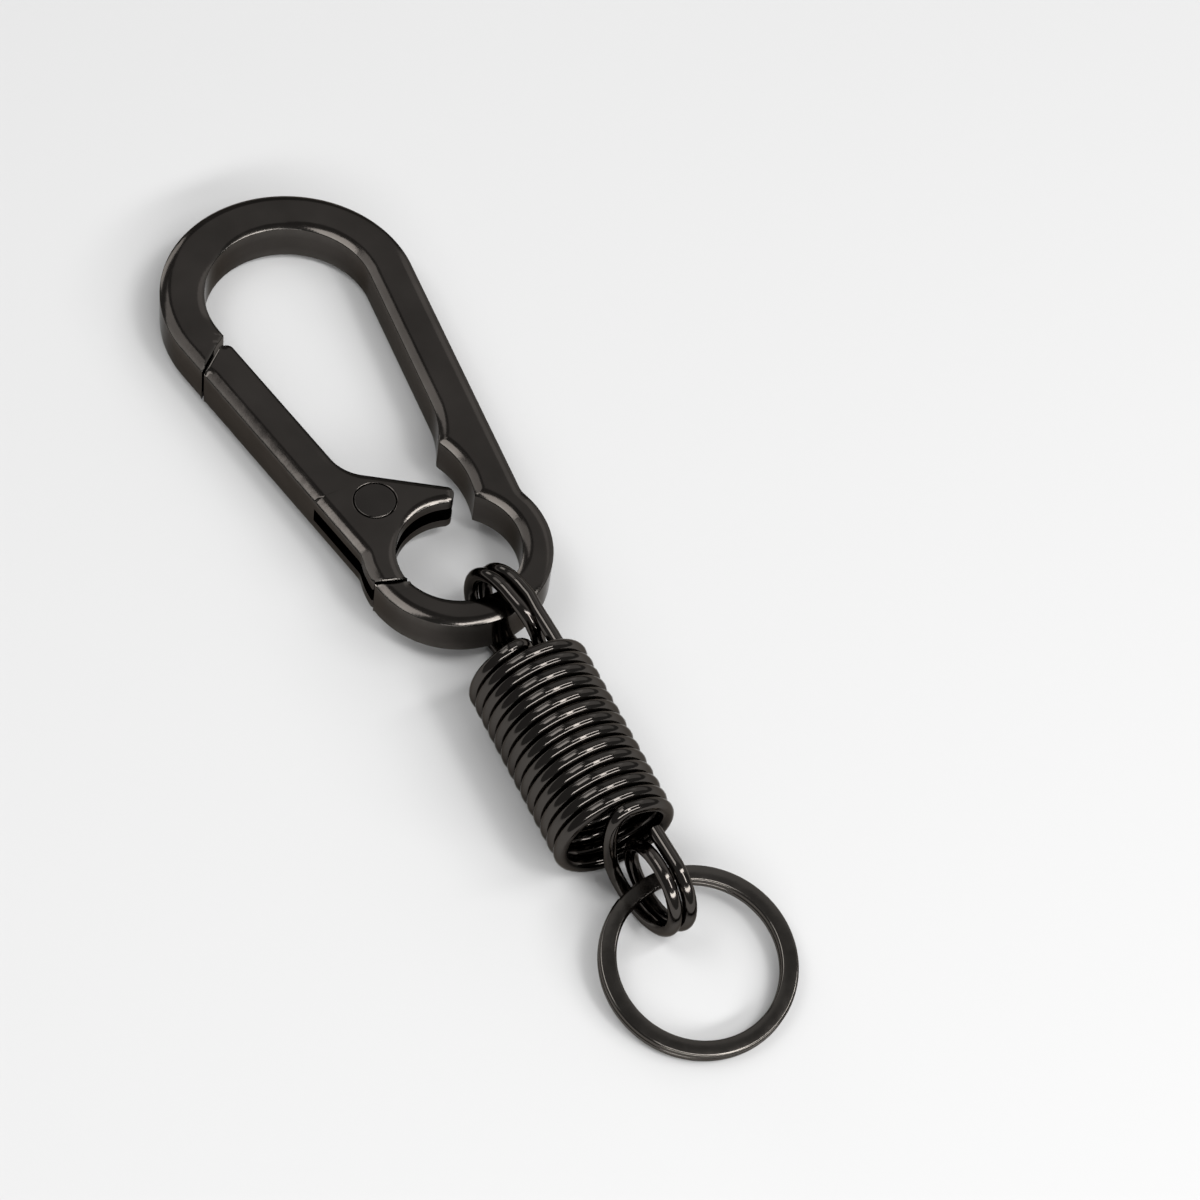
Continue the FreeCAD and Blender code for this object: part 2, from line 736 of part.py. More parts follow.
def ring_place(spring_at, centre):
    """The ring hangs in the lower loop by its band, and its far side lies on the table."""
    half = dim("ring_layer") + dim("ring_layer_gap") / 2
    middle = dim("ring_radius") - dim("ring_band") / 2
    back = math.sqrt(middle ** 2 - dim("ring_side") ** 2)
    far = back + dim("ring_radius")
    height = strand_top() + dim("ring_clearance") + half
    tilt = math.asin(height / math.hypot(far, half)) - math.atan2(half, far)
    loop = dim("table_gap") + dim("wire") / 2 + dim("loop_radius")
    band = turned(V(1, 0, 0), math.degrees(tilt), V(dim("lower_side"), centre + dim("ring_seat"), height - loop))
    turn = turned(V(0, 0, 1), dim("ring_turned"))
    return spring_at.multiply(band).multiply(moved(dim("ring_side"), -back, 0)).multiply(turn)


def main():
    hook, gate, pin, ring = make_hook(), make_gate(), make_pin(), make_ring()
    upper_nodes, lower_nodes, centre = spring_nodes()
    coil_tube, coil_path, coil_tight = wire_tube(upper_nodes, dim("wire"))
    lower_tube, lower_path, lower_tight = wire_tube(lower_nodes, dim("wire"))
    torsion_tube, _, _ = wire_tube(torsion_nodes(), dim("torsion_wire"))
    coil = part_feature("SpringCoil", coil_tube)
    lower = part_feature("SpringLowerHook", lower_tube)
    torsion = part_feature("GateSpring", torsion_tube)
    for name, path, tight in (("coil", coil_path, coil_tight), ("lower hook", lower_path, lower_tight)):
        gap = least_gap(path, dim("wire"))
        print("spring %s: least gap to itself %.3f mm, sharpest radius %.2f mm" % (name, gap, tight))
        if gap <= 0.4 or tight < dim("wire"):
            raise RuntimeError("the wire of the spring is too close to itself or too sharply bent")

    hook_at = hook_place()
    pin_at = hook_at.multiply(moved(-dim("pin_across"), dim("pin_height"), 0))
    spring_at = spring_place(hook_at)
    places = {
        "hook_body": (hook, hook_at),
        "gate": (gate, hook_at),
        "pivot_pin": (pin, pin_at),
        "gate_spring": (torsion, pin_at),
        "spring_coil": (coil, spring_at),
        "spring_lower_hook": (lower, spring_at),
        "key_ring": (ring, ring_place(spring_at, centre)),
    }
    for label, (piece, place) in places.items():
        piece.Label = label
        piece.Placement = place
    doc.recompute()

    # the origin is on the table, under the middle of the whole clip
    boxes = [piece.Shape.optimalBoundingBox(False, False) for piece, _ in places.values()]
    across = (min(b.XMin for b in boxes) + max(b.XMax for b in boxes)) / 2
    along = (min(b.YMin for b in boxes) + max(b.YMax for b in boxes)) / 2
    for piece, place in places.values():
        piece.Placement = moved(-across, -along, 0).multiply(place)
    doc.recompute()

    for obj in doc.Objects:
        if "Invalid" in obj.State or "Error" in obj.State:
            raise RuntimeError("%s failed: %s" % (obj.Name, obj.State))
    for label, (piece, _) in places.items():
        if piece.Shape.isNull() or not piece.Shape.isValid() or len(piece.Shape.Solids) != 1:
            raise RuntimeError(label + " is not one valid solid")
    os.makedirs("parts", exist_ok=True)
    for label, (piece, _) in places.items():
        piece.Shape.exportStep("parts/%s.step" % label)
        box = piece.Shape.optimalBoundingBox(False, False)
        print("%-18s %9.2f mm3  x %7.2f %7.2f  y %7.2f %7.2f  z %6.2f %6.2f" % (
            label, piece.Shape.Volume, box.XMin, box.XMax, box.YMin, box.YMax, box.ZMin, box.ZMax))


main()
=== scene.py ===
import json
import math

import bmesh
import bpy
import numpy as np
from mathutils import Euler, Matrix, Vector
from mathutils.geometry import delaunay_2d_cdt


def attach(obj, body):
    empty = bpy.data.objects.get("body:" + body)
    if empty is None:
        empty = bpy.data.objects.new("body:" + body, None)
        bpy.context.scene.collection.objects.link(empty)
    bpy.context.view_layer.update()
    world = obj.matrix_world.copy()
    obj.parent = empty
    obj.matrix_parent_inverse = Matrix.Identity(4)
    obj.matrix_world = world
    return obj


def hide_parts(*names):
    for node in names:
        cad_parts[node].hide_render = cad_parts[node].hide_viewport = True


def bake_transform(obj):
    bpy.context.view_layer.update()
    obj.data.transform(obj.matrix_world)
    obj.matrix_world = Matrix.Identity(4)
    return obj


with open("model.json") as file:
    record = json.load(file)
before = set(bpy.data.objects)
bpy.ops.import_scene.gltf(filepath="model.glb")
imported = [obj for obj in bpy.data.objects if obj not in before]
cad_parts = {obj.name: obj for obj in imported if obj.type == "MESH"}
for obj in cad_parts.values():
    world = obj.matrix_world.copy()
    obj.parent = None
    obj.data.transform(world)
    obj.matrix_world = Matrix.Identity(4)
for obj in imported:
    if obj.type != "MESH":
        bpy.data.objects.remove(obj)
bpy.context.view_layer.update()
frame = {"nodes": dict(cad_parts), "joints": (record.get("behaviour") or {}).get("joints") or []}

MM = 0.001
JOINTS = {joint["name"]: joint for joint in frame["joints"]}

# Least lengths in millimetres, apart from the weld of a solid's loose triangles, which is in metres.
SOLID_WELD = 1e-7
CUT_WELD = 1e-6
LINE_WELD = 1e-5
PIN_WELD = 1e-4
TOUCHING = 1e-9
TINY = 1e-12

# Points that are compared with an outline at a time.
BLOCK = 2000

# How an outline is read: its spacing, which runs are straight, and which turns are real corners.
OUTLINE = {
    "spacing": 0.45,
    "shortest_run": 1e-4,
    "straight_turn": 4e-3,
    "long_run": 1.7,
    "corner_angle": 24.0,
}

# Rows of points across the crown and the round of an edge, and how far a row may stray.
EDGE_ROWS = {"crown": 7, "round": 3, "slack": 0.02}

# Steps of the arcs about the pin.
ARC_STEPS = {"tongue": 60, "recess": 32, "slot": 16, "bore": 72}

# Share of the way to a face's middle at which the edge that shapes a corner is looked up.
LOOK_IN = 0.1

# Sizes of the pieces are in millimetres and angles in degrees.
HOOK = {
    "thickness": 6.5,
    "inset": 0.03,
    "section_level": 1.8,
    "crown_width": 2.0,
    "crown_angle": 30.0,
    "corner_round": 0.16,
    "seam_width": 0.6,
    "seam_reach": 0.75,
    "wear_reach": 0.3,
}
TONGUE = {
    "thickness": 2.0,
    "radius": 3.3,
    "low_angle": -100.0,
    "high_angle": 170.0,
    "root_x": -4.1,
    "root_y": -12.45,
    "root": 1.5,
    "recess_depth": 1.3,
    "recess_radius": 2.35,
    "bore": 1.41,
}
GATE = {
    "slot_width": 2.4,
    "slot_radius": 3.5,
    "slot_run": 28.0,
    "beak_angle": 36.0,
    "seat_radius": 2.86,
    "seat_rim": 0.24,
    "seat_round": 0.06,
    "seat_depth": 1.5,
    "bore": 1.45,
}
PIN = {
    "radius": 1.4,
    "head": 2.76,
    "head_depth": 1.45,
    "rim_round": 0.22,
    "rim_points": 6,
    "sharp_angle": 40.0,
    "steps": 96,
}
# At each end of the spring, side is the middle of the loop across the coil, and reach the way from its
# centre to the end of the coil. lean tips it across for each millimetre along, flat is the length of its
# straight strands, and spread puts its first strand out of line. bend is how far across from that strand
# the coil starts or ends, tail is where the free end stops, and drop is how far that end dips.
SPRING = {
    "wire": 1.86,
    "coil_radius": 7.05,
    "coil_axis": 1.65,
    "coil_length": 26.1,
    "turns": 14,
    "loop_radius": 5.55,
    "loop_pitch": 2.0,
    "upper_side": 2.4,
    "upper_reach": 9.9,
    "upper_lean": -0.2,
    "upper_flat": 2.0,
    "upper_spread": 0.0,
    "upper_bend": 5.4,
    "upper_tail": -10.9,
    "upper_drop": 1.0,
    "lower_side": 2.7,
    "lower_reach": 7.0,
    "lower_lean": 0.12,
    "lower_flat": 0.0,
    "lower_spread": 0.9,
    "lower_bend": 2.6,
    "lower_tail": -4.6,
    "lower_drop": 0.0,
    "loop_quarters": 7,
    "loop_middle": 5,
    "loop_steps": 10,
    "tail_shares": (0.4, 0.7, 1.0),
    "turn_steps": 40,
    "bend_fullness": 1.25,
    "bend_steps": 12,
    "sides": 18,
}
RING = {
    "radius": 12.5,
    "band": 2.2,
    "layer": 0.92,
    "layer_gap": 0.06,
    "rim_round": 0.36,
    "rim_steps": 5,
    "step_angle": 40.0,
    "turned": 79.0,
    "steps": 272,
}

# Scale of each pattern of the plating, in cycles per metre, and its detail.
PATTERNS = {"tone": (140.0, 4.0), "polish": (420.0, 5.0), "wear": (900.0, 3.0), "ripple": (700.0, 2.0)}
TONE_STOPS = (0.3, 0.75)
POLISH_STOPS = (0.3, 0.8)
EDGE_TINT = (0.5, 0.485, 0.47, 1.0)
RIPPLE_DEPTH = 0.0002

# Dark and light tone, least and most roughness, strength of the ripples, and the tone of worn edges.
FINISHES = {
    "cast_black_nickel": (
        (0.051, 0.046, 0.042), (0.068, 0.061, 0.056), 0.1, 0.17, 0.05, (0.1, 0.094, 0.086)
    ),
    "rivet_black_nickel": ((0.044, 0.04, 0.037), (0.056, 0.051, 0.047), 0.15, 0.22, 0.05, None),
    "wire_black_nickel": ((0.056, 0.051, 0.047), (0.076, 0.069, 0.063), 0.08, 0.14, 0.015, None),
    "ring_black_nickel": ((0.08, 0.073, 0.066), (0.1, 0.092, 0.084), 0.12, 0.2, 0.05, None),
    "bare_spring_steel": ((0.35, 0.35, 0.36), (0.5, 0.5, 0.51), 0.2, 0.32, 0.05, None),
}

# The studio is in metres and watts.
FLOOR = {"half_side": 2.5, "tone": 0.64, "roughness": 0.9, "shine": 0.1}
LAMP_DISTANCE = 0.9
WORLD_STRENGTH = 0.19
LEVEL = (1, 0, 0)
# Name, direction from the clip, way of the width, width, height and power.
LAMPS = (
    ("left_softbox", (-0.37, 0.25, 0.895), LEVEL, 0.36, 0.45, 1.9),
    ("left_back", (-0.3, 0.65, 0.7), LEVEL, 0.5, 0.3, 0.6),
    ("front_softbox", (0.0, -0.8, 0.5), LEVEL, 1.4, 0.13, 6.8),
    ("front_strip", (0.31, -0.29, 0.905), (0.78, 0.1, -0.25), 0.85, 0.1, 3.2),
    ("front_key", (0.22, -0.52, 0.82), LEVEL, 0.16, 0.34, 2.0),
    ("overhead_fill", (0.5, 0.5, 0.71), LEVEL, 0.8, 1.0, 0.8),
    ("right_fill", (0.85, 0.2, 0.42), (0, 1, 0), 0.8, 0.5, 0.6),
    ("back_strip", (-0.1, 0.95, 0.3), LEVEL, 0.3, 0.2, 0.5),
)
# The lens and its sensor are in millimetres, and the turn in degrees.
CAMERA = {
    "lens": 105.0,
    "sensor": 36.0,
    "near": 0.02,
    "far": 10.0,
    "place": (-0.14946, -0.19665, 0.38307),
    "turn": (32.824, -6.977, -30.190),
}


def unit(vector):
    vector = np.asarray(vector, float)
    return vector / np.linalg.norm(vector)


def linked(name, data):
    """A new object in the scene."""
    made = bpy.data.objects.new(name, data)
    bpy.context.scene.collection.objects.link(made)
    return made


def plane_matrix(origin, along, up):
    """Matrix of a flat frame: its X runs along, its Z up. The origin is in metres, sizes in millimetres."""
    x, z = Vector(unit(along)), Vector(unit(up))
    matrix = Matrix((x, z.cross(x), z)).transposed().to_4x4()
    return Matrix.Translation(Vector(origin)) @ matrix @ Matrix.Scale(MM, 4)


def hook_plane():
    hinge = JOINTS["gate_hinge"]
    return plane_matrix(hinge["pos_m"], (1, 0, 0), hinge["axis"])


def spring_plane():
    """Frame of the spring: Y runs up along the coil, Z up off the table."""
    hinge = JOINTS["spring_swing"]
    base = Vector(hinge["pos_m"]) - Vector(hinge["axis"]) * SPRING["upper_side"] * MM
    return plane_matrix(base, hinge["axis"], (0, 0, 1))


def chained(edges):
    """Closed loops of points from the loose edges of a section."""
    links = {}
    for edge in edges:
        a, b = edge.verts
        links.setdefault(a, []).append(b)
        links.setdefault(b, []).append(a)
    loops = []
    while links:
        start = next(iter(links))
        loop, here, before = [], start, None
        while here in links:
            ahead = [v for v in links.pop(here) if v is not before]
            loop.append(here.co.copy())
            before, here = here, ahead[0]
        loops.append(np.array([point[:2] for point in loop]))
    return loops


def signed_area(points):
    after = np.roll(points, -1, axis=0)
    return 0.5 * np.sum(points[:, 0] * after[:, 1] - points[:, 1] * after[:, 0])


def section(node, level):
    """The largest outline that a level of the hook's plane cuts from a solid, counter-clockwise."""
    copy = bmesh.new()
    copy.from_mesh(frame["nodes"][node].data)
    bmesh.ops.remove_doubles(copy, verts=copy.verts, dist=SOLID_WELD)
    copy.transform(hook_plane().inverted())
    geometry = copy.verts[:] + copy.edges[:] + copy.faces[:]
    cut = bmesh.ops.bisect_plane(
        copy, geom=geometry, dist=CUT_WELD, plane_co=(0, 0, level), plane_no=(0, 0, 1)
    )
    loops = chained([item for item in cut["geom_cut"] if isinstance(item, bmesh.types.BMEdge)])
    copy.free()
    outline = max(loops, key=lambda loop: abs(signed_area(loop)))
    return outline if signed_area(outline) > 0 else outline[::-1]


def true_corners(points):
    """An outline without the points that lie on a straight run between their neighbours."""
    while True:
        before = points - np.roll(points, 1, axis=0)
        after = np.roll(points, -1, axis=0) - points
        short = np.linalg.norm(before, axis=1) < OUTLINE["shortest_run"]
        turn = before[:, 0] * after[:, 1] - before[:, 1] * after[:, 0]
        lengths = np.linalg.norm(before, axis=1) * np.linalg.norm(after, axis=1)
        straight = np.abs(turn) < OUTLINE["straight_turn"] * np.maximum(lengths, TINY)
        drop = short | straight
        drop[1:] &= ~drop[:-1]
        if not drop.any():
            return points
        points = points[~drop]


def smooth_outline(points):
    """Even points along an outline of lines and arcs, with the heading at both ends of each run."""
    points = true_corners(points)
    count = len(points)
    step = np.roll(points, -1, axis=0) - points
    length = np.linalg.norm(step, axis=1)
    way = step / length[:, None]
    long = length > OUTLINE["long_run"]
    leave, arrive = way.copy(), way.copy()
    for i in range(count):
        before = i - 1
        turn = math.acos(max(-1.0, min(1.0, way[before] @ way[i])))
        if turn > math.radians(OUTLINE["corner_angle"]):
            continue
        if long[i] and not long[before]:
            arrive[before] = leave[i] = way[i]
        elif long[before] and not long[i]:
            arrive[before] = leave[i] = way[before]
        else:
            arrive[before] = leave[i] = unit(way[before] * length[i] + way[i] * length[before])
    runs = []
    for i in range(count):
        parts = max(1, int(round(length[i] / OUTLINE["spacing"])))
        a, b = points[i], points[(i + 1) % count]
        for k in range(parts):
            ends = [hermite(a, leave[i], b, arrive[i], length[i], t / parts) for t in (k, k + 1)]
            runs.append((ends[0][0], ends[0][1], ends[1][1]))
    starts = np.array([run[0] for run in runs])
    headings = np.array([(unit(run[1]), unit(run[2])) for run in runs])
    return starts, headings


def hermite(a, heading, b, towards, reach, t):
    """Point and direction on the smooth way from a to b."""
    first, last = np.asarray(heading) * reach, np.asarray(towards) * reach
    point = (
        (2 * t ** 3 - 3 * t ** 2 + 1) * a + (t ** 3 - 2 * t ** 2 + t) * first
        + (3 * t ** 2 - 2 * t ** 3) * b + (t ** 3 - t ** 2) * last
    )
    way = (
        (6 * t ** 2 - 6 * t) * a + (3 * t ** 2 - 4 * t + 1) * first
        + (6 * t - 6 * t ** 2) * b + (3 * t ** 2 - 2 * t) * last
    )
    return point, way


def nearest(points, starts, ends):
    """Distance from points to the nearest of many runs, and the nearest place on it."""
    distance = np.empty(len(points))
    place = np.empty((len(points), 2))
    run = ends - starts
    square = np.maximum(np.sum(run ** 2, axis=1), TINY)
    for low in range(0, len(points), BLOCK):
        block = points[low:low + BLOCK]
        gap = block[:, None, :] - starts[None]
        share = np.clip(np.sum(gap * run[None], axis=2) / square[None], 0, 1)
        foot = starts[None] + share[..., None] * run[None]
        far = np.linalg.norm(block[:, None, :] - foot, axis=2)
        best = np.argmin(far, axis=1)
        rows = np.arange(len(block))
        distance[low:low + BLOCK] = far[rows, best]
        place[low:low + BLOCK] = foot[rows, best]
    return distance, place


def inside(points, loop):
    """Which points lie inside a closed loop."""
    result = np.zeros(len(points), bool)
    after = np.roll(loop, -1, axis=0)
    for (x0, y0), (x1, y1) in zip(loop, after):
        crosses = (y0 > points[:, 1]) != (y1 > points[:, 1])
        if y0 != y1:
            result ^= crosses & (points[:, 0] < (x1 - x0) * (points[:, 1] - y0) / (y1 - y0) + x0)
    return result


class EdgeForm:
    """Cross-section of a crowned edge: a wide arc that falls from the flat land, then a small round."""

    def __init__(self, width, angle, small):
        self.width, self.small = width, small
        self.angle = math.radians(angle)
        self.turn_at = small * (1 - math.sin(self.angle))
        self.large = (width - self.turn_at) / math.sin(self.angle)
        half = HOOK["thickness"] / 2
        self.low = half - self.large * (1 - math.cos(self.angle)) - small * math.cos(self.angle)

    def lean(self, distance):
        """Angle of the surface's normal off the flat face, by the distance from the outline."""
        outer = np.clip((self.width - distance) / self.large, 0, 1)
        rim = np.clip(1 - distance / self.small, 0, 1)
        return np.where(distance < self.turn_at, np.arcsin(rim), np.arcsin(outer))

    def height(self, distance):
        lean = self.lean(distance)
        crown = HOOK["thickness"] / 2 - self.large * (1 - np.cos(lean))
        return np.where(distance < self.turn_at, self.low + self.small * np.cos(lean), crown)

    def rows(self):
        """Distances from the outline at which the surface gets its points."""
        crown, rim = EDGE_ROWS["crown"], EDGE_ROWS["round"]
        wide = [self.angle * k / crown for k in range(crown + 1)]
        tight = [self.angle + (math.pi / 2 - self.angle) * k / rim for k in range(1, rim)]
        found = [self.width - self.large * math.sin(lean) for lean in wide]
        return found + [self.small * (1 - math.sin(lean)) for lean in tight]


class Plate:
    """A flat piece with crowned edges, rebuilt on the outline of its solid in the hook's plane."""

    def __init__(self, outline, other):
        self.starts, self.headings = smooth_outline(outline)
        self.starts = self.starts + HOOK["inset"] * self.inward()
        self.ends = np.roll(self.starts, -1, axis=0)
        facing, _ = nearest((self.starts + self.ends) / 2, other, np.roll(other, -1, axis=0))
        self.seam = facing < HOOK["seam_reach"]
        self.forms = (
            EdgeForm(HOOK["crown_width"], HOOK["crown_angle"], HOOK["corner_round"]),
            EdgeForm(HOOK["seam_width"], HOOK["crown_angle"], HOOK["corner_round"]),
        )
        self.chains = [(self.starts, self.headings)]
        self.seats = []

    def sink(self, radius, width, small, steps):
        """Add a round seat about the pin, with a crowned rim."""
        self.divide(round_chain(radius, count=steps), True)
        self.seats.append((radius, EdgeForm(width, HOOK["crown_angle"], small), steps))

    def divide(self, chain, closed):
        """Add a line that parts the plate, such as the rim of a bore."""
        way = np.roll(chain, -1, axis=0) - chain if closed else np.diff(chain, axis=0)
        way = way / np.linalg.norm(way, axis=1)[:, None]
        self.chains.append((chain, np.stack([way, way], axis=1)))

    def surface(self, points):
        """Height, lean and way to the outline at some points, for plain edges and for seam edges."""
        found = []
        for kind, form in enumerate(self.forms):
            pick = self.seam == bool(kind)
            distance, place = nearest(points, self.starts[pick], self.ends[pick])
            way = place - points
            way = way / np.maximum(np.linalg.norm(way, axis=1), TOUCHING)[:, None]
            found.append((form.height(distance), form.lean(distance), way))
        for radius, form, _ in self.seats:
            reach = np.linalg.norm(points, axis=1)
            distance = np.maximum(reach - radius, 0)
            way = -points / np.maximum(reach, TOUCHING)[:, None]
            found.append((form.height(distance), form.lean(distance), way))
        return [np.array(item) for item in zip(*found)]

    def inward(self):
        return np.stack([-self.headings[:, 0, 1], self.headings[:, 0, 0]], axis=1)

    def rows(self):
        """Points inside the outline, in rows that follow it."""
        inward = self.inward()
        found = []
        for kind, form in enumerate(self.forms):
            pick = self.seam == bool(kind)
            for distance in form.rows():
                points = (self.starts + inward * distance)[pick]
                far, _ = nearest(points, self.starts, self.ends)
                clear = far > distance - EDGE_ROWS["slack"]
                found.append(points[clear & inside(points, self.starts)])
        for radius, form, steps in self.seats:
            found += [round_chain(radius + distance, count=steps) for distance in form.rows()]
        return np.vstack(found)

    def triangles(self):
        """Triangles over all the lines, and the chain and run that each edge on a line belongs to."""
        points, edges, owners = [], [], []
        for number, (chain, headings) in enumerate(self.chains):
            base = len(points)
            points += list(chain)
            for run in range(len(headings)):
                edges.append((base + run, base + (run + 1) % len(chain)))
                owners.append((number, run))
        points += list(self.rows())
        made = delaunay_2d_cdt([Vector(p) for p in points], edges, [], 0, LINE_WELD, True)
        runs = {}
        for (a, b), origin in zip(made[1], made[4]):
            lines = [o for o in origin if o < len(edges)]
            if lines:
                runs[frozenset((a, b))] = owners[lines[0]]
        return np.array([c[:] for c in made[0]]), np.array([f[:] for f in made[2]]), runs

    def wall_way(self, owner, point, across):
        """Smooth normal of a wall at a point of a run, on the side that across points to."""
        chain, headings = self.chains[owner[0]]
        run = owner[1]
        start, end = chain[run], chain[(run + 1) % len(chain)]
        share = np.clip((point - start) @ (end - start) / max((end - start) @ (end - start), TINY), 0, 1)
        heading = unit(headings[run][0] * (1 - share) + headings[run][1] * share)
        way = np.array((heading[1], -heading[0]))
        return way if way @ across > 0 else -way


def shell(plate, levels, cells, pick):
    """Points, faces, corner normals and wear of a plate. levels are heights from back to front, and None
    stands for the crowned faces. cells gives the filled bands of each kind of cell between the levels,
    and pick gives the kind of the cell at some points."""
    points, faces, runs = plate.triangles()
    kinds = pick(points[faces].mean(axis=1))
    crown = plate.surface(points)[0].min(axis=0)
    rim, _ = nearest(points, plate.starts, plate.ends)
    last = len(levels) - 1
    verts, wear, index, polygons, corners, marks = [], [], {}, [], [], []

    def vert(corner, level):
        key = (corner, level)
        if key not in index:
            index[key] = len(verts)
            height = crown[corner] if level else -crown[corner]
            ends = level in (0, last)
            verts.append((*points[corner], height if ends else levels[level]))
            wear.append(math.exp(-(rim[corner] / HOOK["wear_reach"]) ** 2) if ends else 0.0)
        return index[key]

    def add(face, face_levels, mark):
        polygons.append([vert(c, level) for c, level in zip(face, face_levels)])
        corners.append(list(face))
        marks.append(mark)

    sides = {}
    for face, kind in zip(faces, kinds):
        bands = cells[kind]
        for band in bands:
            if band + 1 not in bands:
                add(face, [band + 1] * 3, (band + 1, 1.0))
            if band - 1 not in bands:
                add(face[::-1], [band] * 3, (band, -1.0))
        for a, b in zip(face, np.roll(face, -1)):
            sides[(a, b)] = kind
    for (a, b), kind in sides.items():
        other = cells[sides[(b, a)]] if (b, a) in sides else ()
        for band in cells[kind]:
            if band not in other:
                add((a, b, b, a), (band, band, band + 1, band + 1), None)
    normals = shell_normals(plate, points, runs, corners, marks, last)
    return np.array(verts), polygons, normals, wear


def shell_normals(plate, points, runs, corners, marks, last):
    """Corner normals: the true crown on the front and back, and smooth curves along the walls."""
    normals, rows, at, beside, signs = [], [], [], [], []
    for face, mark in zip(corners, marks):
        if mark is None:
            a, b = points[face[0]], points[face[1]]
            across = np.array((b[1] - a[1], a[0] - b[0]))
            owner = runs.get(frozenset((face[0], face[1])))
            for corner in face:
                way = plate.wall_way(owner, points[corner], across) if owner else unit(across)
                normals.append((way[0], way[1], 0.0))
            continue
        level, sign = mark
        middle = points[face].mean(axis=0)
        for corner in face:
            if level in (0, last):
                rows.append(len(normals))
                at.append(points[corner])
                beside.append(points[corner] * (1 - LOOK_IN) + middle * LOOK_IN)
                signs.append(sign)
            normals.append((0.0, 0.0, sign))
    normals = np.array(normals)
    heights, _, ways = plate.surface(np.array(beside))
    leans = plate.surface(np.array(at))[1]
    best = heights.argmin(axis=0)
    each = np.arange(len(best))
    lean, way = leans[best, each], ways[best, each]
    normals[rows] = np.c_[way * np.sin(lean)[:, None], np.cos(lean) * np.array(signs)]
    return normals


def plate_piece(name, plate, levels, cells, pick, finish):
    """A piece in metres from the shell of a plate in the hook's plane."""
    verts, polygons, normals, wear = shell(plate, levels, cells, pick)
    mesh = bpy.data.meshes.new(name)
    mesh.from_pydata([tuple(v) for v in verts], [], [tuple(int(c) for c in p) for p in polygons])
    mesh.polygons.foreach_set("use_smooth", [True] * len(mesh.polygons))
    mesh.transform(hook_plane())
    turn = np.array(hook_plane().to_3x3().normalized())
    mesh.normals_split_custom_set([tuple(n) for n in normals @ turn.T])
    mesh.update()
    mesh.attributes.new("wear", "FLOAT", "POINT").data.foreach_set("value", wear)
    mesh.materials.append(finish)
    return linked(name, mesh)


def round_chain(radius, first=0.0, last=360.0, count=ARC_STEPS["bore"]):
    """Points on an arc about the pin."""
    turn = np.radians(np.linspace(first, last, count + 1))
    points = np.stack([radius * np.cos(turn), radius * np.sin(turn)], axis=1)
    return points[:-1] if last - first >= 360 else points


def tongue_chain():
    """Outline of the tongue: round about the pin, with a foot that ends inside the hook."""
    arc = round_chain(TONGUE["radius"], TONGUE["low_angle"], TONGUE["high_angle"], ARC_STEPS["tongue"])
    x, y, half = TONGUE["root_x"], TONGUE["root_y"], TONGUE["root"]
    return np.vstack([arc, [(x - half, y - half), (x + half, y - half)]])


def recess_chain():
    """Edge of the recess for the gate's own spring: round below the pin and open above it."""
    side, top = TONGUE["recess_radius"], 2 * TONGUE["radius"]
    return np.vstack([[(-side, top)], round_chain(side, 180, 360, ARC_STEPS["recess"]), [(side, top)]])


def make_hook(outline, other, finish):
    """The cast hook, with the thin tongue that carries the pin."""
    plate = Plate(outline, other)
    tongue = tongue_chain()
    plate.divide(tongue, True)
    plate.divide(round_chain(TONGUE["bore"]), True)
    plate.divide(recess_chain(), False)

    def pick(points):
        radius = np.linalg.norm(points, axis=1)
        recess = (np.abs(points[:, 0]) < TONGUE["recess_radius"]) & (points[:, 1] > 0)
        recess |= radius < TONGUE["recess_radius"]
        kind = np.where(inside(points, tongue) & (radius > TONGUE["bore"]), np.where(recess, 2, 1), 3)
        kind[inside(points, plate.starts)] = 0
        return kind

    half = TONGUE["thickness"] / 2
    levels = (None, -half, half - TONGUE["recess_depth"], half, None)
    cells = ((0, 1, 2, 3), (1, 2), (1,), ())
    return plate_piece("hook", plate, levels, cells, pick, finish)


def slot_chain():
    """Upper edge of the slot: level from the outside, round the pin, then down along the beak."""
    radius, lean = GATE["slot_radius"], math.radians(GATE["beak_angle"])
    arc = round_chain(radius, 90 - GATE["beak_angle"], 90, ARC_STEPS["slot"])[::-1]
    end = arc[-1] + GATE["slot_run"] * np.array((math.cos(lean), -math.sin(lean)))
    return np.vstack([[(-GATE["slot_run"], radius)], arc, [end]])


def make_gate(outline, other, finish):
    """The gate, slotted for the tongue and bored for the pin, with a flush seat for each head."""
    plate = Plate(outline, other)
    plate.divide(slot_chain(), False)
    plate.sink(GATE["seat_radius"], GATE["seat_rim"], GATE["seat_round"], PIN["steps"])
    plate.divide(round_chain(GATE["bore"]), True)
    lean = math.radians(GATE["beak_angle"])

    def pick(points):
        x, y = points.T
        radius = np.hypot(x, y)
        under = (y < GATE["slot_radius"]) & (x * math.sin(lean) + y * math.cos(lean) < GATE["slot_radius"])
        corner = (x > 0) & (np.arctan2(x, y) < lean) & (y > 0)
        slot = np.where(corner, radius < GATE["slot_radius"], under)
        kind = np.where(slot, 1, 0)
        kind[radius < GATE["seat_radius"]] = 2
        kind[(radius < GATE["bore"]) | ~inside(points, plate.starts)] = 3
        return kind

    slot, seat = GATE["slot_width"] / 2, HOOK["thickness"] / 2 - GATE["seat_depth"]
    levels = (None, -seat, -slot, slot, seat, None)
    cells = ((0, 1, 2, 3, 4), (0, 1, 3, 4), (1, 3), ())
    return plate_piece("gate_arm", plate, levels, cells, pick, finish)


